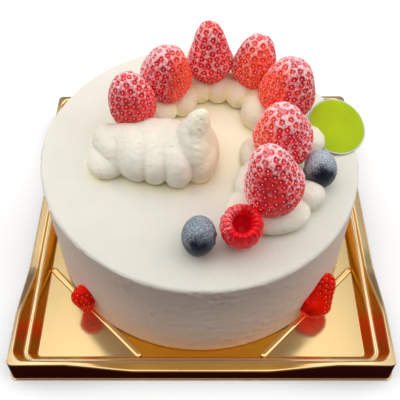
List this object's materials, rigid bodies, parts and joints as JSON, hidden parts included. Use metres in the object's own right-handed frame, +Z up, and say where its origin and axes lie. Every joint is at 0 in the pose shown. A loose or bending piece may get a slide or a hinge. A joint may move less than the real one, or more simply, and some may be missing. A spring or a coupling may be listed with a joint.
{
  "type": "cream cake with berries on a square tray",
  "caption": "Round white cream cake topped with frosted berries, a piped cream swirl and a small round plaque, on a square gold plastic tray.",
  "frame": {"origin": "on the table under the middle of the tray", "axes": "+Z up, +X to the right and +Y to the back as the cake is seen from its front"},
  "size_m": [0.1924, 0.1924, 0.1088],
  "materials": {
    "tray": "gold metallised, mirror-like",
    "icing": "smooth whipped cream",
    "cream": "piped whipped cream",
    "strawberry": "frosted with fine white crystals",
    "cut_strawberry": "wet gloss",
    "blueberry": "frosted",
    "raspberry": "frosted rim, glossy sides",
    "plaque": "smooth gloss"
  },
  "bodies": {
    "root": {"tray": "tray", "cake": "icing", "cream_swirl": "cream", "cream_ring": "cream", "strawberry_1": "strawberry", "strawberry_2": "strawberry", "strawberry_3": "strawberry", "strawberry_4": "strawberry", "strawberry_5": "strawberry", "strawberry_6": "strawberry", "strawberry_7": "strawberry", "blueberry_1": "blueberry", "blueberry_2": "blueberry", "raspberry": "raspberry", "plaque": "plaque", "foot_berry_left": "cut_strawberry", "foot_berry_right": "cut_strawberry"}
  },
  "joints": []
}
